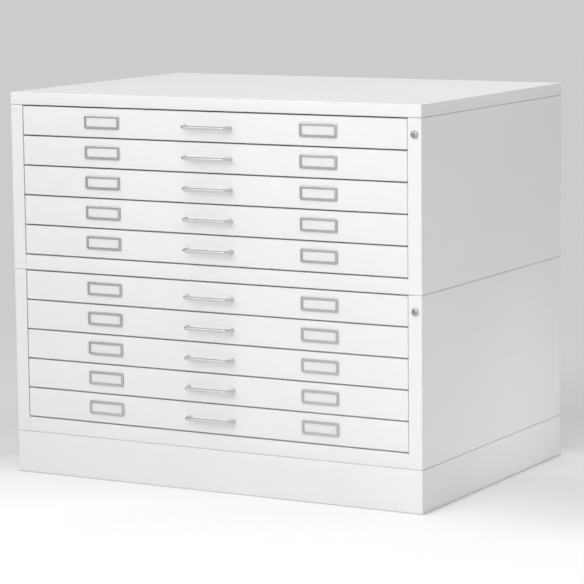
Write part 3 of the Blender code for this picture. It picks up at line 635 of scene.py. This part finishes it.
def tyre_mesh(radius):
    """A roller's tyre along X, from 0 to its width, with a middle groove and a dished hub."""
    reach = radius + TYRE_GROWTH
    width = TYRE_WIDTH + 2 * TYRE_GROWTH
    groove = (width - TYRE_GROOVE_WIDTH) / 2
    bottom = reach - TYRE_GROOVE_DEPTH
    half = [(0.0, HUB_DISH), (HUB_RADIUS, HUB_DISH), (HUB_RADIUS + HUB_DISH, 0.0), (reach - TYRE_EDGE, 0.0)]
    half += [(reach, TYRE_EDGE), (reach, groove), (bottom, groove + TYRE_GROOVE_DEPTH)]
    profile = half + [(out, width - along) for out, along in reversed(half)]
    shape = bmesh.new()
    lathe(shape, profile, SMALL_ROUND_STEPS, axis="X")
    return mesh_from(shape, "tyre")


def middle_of(low, high):
    """The middle of a box, across and up."""
    return (low.x + high.x) / 2, (low.z + high.z) / 2


def card_mesh(width, height, bow):
    """A card, a little bowed towards the window."""
    shape = bmesh.new()
    bmesh.ops.create_grid(shape, x_segments=CARD_COLUMNS, y_segments=CARD_ROWS, size=0.5)
    for point in shape.verts:
        across, up = point.co.x, point.co.y
        point.co = (across * width, bow * (4 * across * across - 0.5 * up), up * height)
    bmesh.ops.solidify(shape, geom=shape.faces, thickness=CARD_THICKNESS)
    return mesh_from(shape, "card")


def add_pulls(chrome):
    """A fine pull in place of each drawer's faceted one."""
    mesh = pull_mesh()
    for drawer in DRAWERS:
        node = f"{drawer}_pull"
        across, up = middle_of(*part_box(node))
        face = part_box(f"{drawer}_tray")[0].y
        piece = new_piece(f"{drawer}_bail_pull", mesh, chrome, drawer, [node])
        piece.location = (across, face, up)


def add_locks(chrome):
    """A fine lock case and plug in each unit."""
    cylinder = lock_cylinder_mesh()
    plug = lock_plug_mesh()
    for unit in UNITS:
        node = f"{unit}_lock_cylinder"
        across, up = middle_of(*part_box(node))
        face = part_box(f"{unit}_right_side")[0].y
        case_piece = new_piece(f"{unit}_lock_case", cylinder, chrome, "case", [node])
        plug_node = f"{unit}_lock_plug"
        plug_piece = new_piece(f"{unit}_key_plug", plug, chrome, plug_node, [plug_node])
        for piece in (case_piece, plug_piece):
            piece.location = (across, face, up)


def add_cards(card):
    """A blank card in each label holder, each bowed a little differently."""
    for number, drawer in enumerate(DRAWERS):
        for side, sign in SIDES.items():
            low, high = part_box(f"{drawer}_{side}_label_holder")
            across, up = middle_of(low, high)
            bow = CARD_BOW * (0.4 + 0.6 * math.sin(1 + 2.4 * number + sign) ** 2)
            size = high - low
            mesh = card_mesh(size.x - 2 * CARD_MARGIN, size.z - 2 * CARD_MARGIN, bow)
            piece = new_piece(f"{drawer}_{side}_card", mesh, card, drawer)
            piece.location = (across, low.y + HOLDER_LIP + CARD_THICKNESS + bow / 2, up)


def add_rollers(nylon):
    """A round tyre over each faceted roller: the front ones on the case, the rear ones on the drawers."""
    meshes = {radius: tyre_mesh(radius) for radius in (FRONT_ROLLER_RADIUS, REAR_ROLLER_RADIUS)}
    for drawer in DRAWERS:
        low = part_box(f"{drawer}_tray")[0]
        for side, sign in SIDES.items():
            for body, end, radius, back, up in (
                ("case", "front", FRONT_ROLLER_RADIUS, FRONT_ROLLER_Y, FRONT_ROLLER_Z),
                (drawer, "rear", REAR_ROLLER_RADIUS, REAR_ROLLER_Y, REAR_ROLLER_Z),
            ):
                piece = new_piece(f"{drawer}_{side}_{end}_roller", meshes[radius], nylon, body)
                inner = ROLLER_INNER - TYRE_GROWTH
                start = inner if sign > 0 else -inner - TYRE_WIDTH - 2 * TYRE_GROWTH
                piece.location = (start, low.y + back, low.z + up)


def add_cabinet():
    """Every finish and every piece of the cabinet."""
    enamel, nickel, zinc = enamel_material(), nickel_material(), zinc_material()
    pull_chrome = chrome_material("pull_chrome", PULL_GREYS, PULL_ROUGHNESS)
    lock_chrome = chrome_material("lock_chrome", LOCK_GREYS, LOCK_ROUGHNESS)
    card, nylon = card_material(), nylon_material()
    tree = shade_tree()
    for name in frame["nodes"]:
        if name.endswith("_label_holder"):
            dress_node(name, nickel, tree)
        elif name.endswith(("_runners", "_lock_bar")):
            dress_node(name, zinc, tree)
        elif not name.endswith(REPLACED):
            dress_node(name, enamel, tree)
    add_pulls(pull_chrome)
    add_locks(lock_chrome)
    add_cards(card)
    add_rollers(nylon)


def painted_floor_shadows(nodes, where):
    """How much of its tone the floor keeps under its painted shadows: less in a painted shadow right of the
    cabinet, and in a painted contact shadow in a line beside its base.
    """
    # Painted shadow of the cabinet: the floor's tone drops within a soft spot right of it
    spot = nodes.vector_math("DISTANCE", where, PAINTED_SHADOW_SPOT, "Value")
    shade = nodes.spread(nodes.smooth_step(spot, PAINTED_SHADOW_REACH), 1.0, 1.0 - PAINTED_SHADOW, 0.0, 1.0)
    # Painted contact shadow: a thin darker line on the floor beside the sides of the base
    low, high = (Vector(corner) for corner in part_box("closed_base"))
    middle, half = (high + low) / 2, (high - low) / 2
    offset = nodes.vector_math("SUBTRACT", where, tuple(middle))
    offset = nodes.add("ShaderNodeVectorMath", {0: offset}, operation="ABSOLUTE").outputs["Vector"]
    out = nodes.axes(offset)
    beside = nodes.smooth_step(out["X"], (half.x + CONTACT_SHADOW_WIDTH, half.x))
    between = nodes.smooth_step(out["Y"], (half.y + CONTACT_SHADOW_FADE, half.y - CONTACT_SHADOW_FADE))
    contact_shadow = nodes.spread(nodes.math("MULTIPLY", beside, between), 1.0, 1.0 - CONTACT_SHADOW, 0.0, 1.0)
    return nodes.math("MULTIPLY", shade, contact_shadow)


def add_floor():
    """The pale paper with its painted pool of light. The camera and metal see its tones with the painted
    shadows, and it bounces less light.
    """
    bpy.ops.mesh.primitive_circle_add(vertices=PAPER_POINTS, radius=PAPER_RADIUS, fill_type="NGON")
    floor = bpy.context.object
    floor.name = "studio_floor"
    material = bpy.data.materials.new("studio_floor")
    material.use_nodes = True
    tree = material.node_tree
    tree.nodes.remove(tree.nodes["Principled BSDF"])
    nodes = Nodes(tree)
    where = nodes.add("ShaderNodeNewGeometry").outputs["Position"]
    # Painted pool of light: the paper's tone falls from white to grey with the distance from a spot in
    # front of the cabinet
    reach = nodes.vector_math("DISTANCE", where, LIGHT_POOL_SPOT, "Value")
    colour = nodes.ramp(reach, LIGHT_POOL_TONES)
    path, shiny = nodes.seen()
    seen = nodes.math("MAXIMUM", path["Is Camera Ray"], shiny)
    rightness = nodes.smooth_step(nodes.axes(where)["X"], BOUNCE_SPAN)
    bounce = nodes.spread(rightness, LEFT_BOUNCE, 1.0, 0.0, 1.0)
    # The camera and metal see the floor with its painted shadows; other light meets the bounce instead
    factor = nodes.spread(seen, bounce, painted_floor_shadows(nodes, where), 0.0, 1.0)
    scale_inputs = {0: colour, "Scale": factor}
    colour = nodes.add("ShaderNodeVectorMath", scale_inputs, operation="SCALE").outputs["Vector"]
    lit = nodes.add("ShaderNodeBsdfDiffuse", {"Color": colour}).outputs["BSDF"]
    even = nodes.add("ShaderNodeEmission", {"Color": colour}).outputs["Emission"]
    share = nodes.smooth_step(reach, EVEN_REACH)
    mixed = nodes.add("ShaderNodeMixShader", {0: share, 1: lit, 2: even}).outputs["Shader"]
    tree.links.new(mixed, tree.nodes["Material Output"].inputs["Surface"])
    floor.data.materials.append(material)


def add_soft_boxes():
    """A key light from the left, which throws the pulls' shadows, a wide fill in front, and a small low
    light on the foot of the right side."""
    for name, (place, target, size, power, spread) in SOFT_BOXES.items():
        data = bpy.data.lights.new(name, "AREA")
        data.size = size
        data.energy = power
        data.spread = math.radians(spread)
        light = bpy.data.objects.new(name, data)
        light.location = place
        light.rotation_mode = "QUATERNION"
        light.rotation_quaternion = (Vector(target) - Vector(place)).to_track_quat("-Z", "Y")
        bpy.context.scene.collection.objects.link(light)


def add_world():
    """Light from all round, and more from above. Seen straight it is the grey of the paper."""
    world = bpy.data.worlds.new("studio")
    bpy.context.scene.world = world
    world.use_nodes = True
    tree = world.node_tree
    nodes = Nodes(tree)
    towards = nodes.axes(nodes.add("ShaderNodeTexCoord").outputs["Generated"])
    sky = nodes.blend_colours(nodes.smooth_step(towards["Z"], (0.0, 1.0)), grey(SKY_LOW), grey(SKY_HIGH))
    room = nodes.blend_colours(nodes.smooth_step(towards["X"], GLOW_SIDE_SPAN), grey(ROOM_GREY), grey(GLOW))
    room = nodes.blend_colours(nodes.smooth_step(towards["Y"], GLOW_FRONT_SPAN), grey(ROOM_GREY), room)
    mirrored = nodes.blend_colours(nodes.smooth_step(towards["Y"], ROOM_SPAN), room, grey(FAR_GREY))
    mirrored = nodes.blend_colours(nodes.smooth_step(towards["X"], FLAG_SPAN), grey(FLAG_GREY), mirrored)
    path, shiny = nodes.seen()
    colour = nodes.blend_colours(shiny, sky, mirrored)
    colour = nodes.blend_colours(path["Is Camera Ray"], colour, grey(FAR_GREY))
    tree.links.new(colour, tree.nodes["Background"].inputs["Color"])


def add_camera():
    """The camera, where the photograph was taken from."""
    yaw, pitch, roll = (math.radians(turn) for turn in (CAMERA_YAW, CAMERA_PITCH, CAMERA_ROLL))
    forward = Vector((-math.sin(yaw) * math.cos(pitch), math.cos(yaw) * math.cos(pitch), -math.sin(pitch)))
    level = Vector((math.cos(yaw), math.sin(yaw), 0.0))
    upright = level.cross(forward)
    right = math.cos(roll) * level + math.sin(roll) * upright
    up = -math.sin(roll) * level + math.cos(roll) * upright
    data = bpy.data.cameras.new("camera")
    data.sensor_width = SENSOR_WIDTH
    data.lens = CAMERA_FOCAL_PIXELS / FRAME_PIXELS * SENSOR_WIDTH
    camera = bpy.data.objects.new("camera", data)
    frame_turn = Matrix((right, up, -forward)).transposed().to_4x4()
    camera.matrix_world = Matrix.Translation(CAMERA_PLACE) @ frame_turn
    bpy.context.scene.collection.objects.link(camera)
    bpy.context.scene.camera = camera


add_camera()
add_cabinet()
add_floor()
add_world()
add_soft_boxes()
bpy.context.scene.view_settings.view_transform = "Standard"
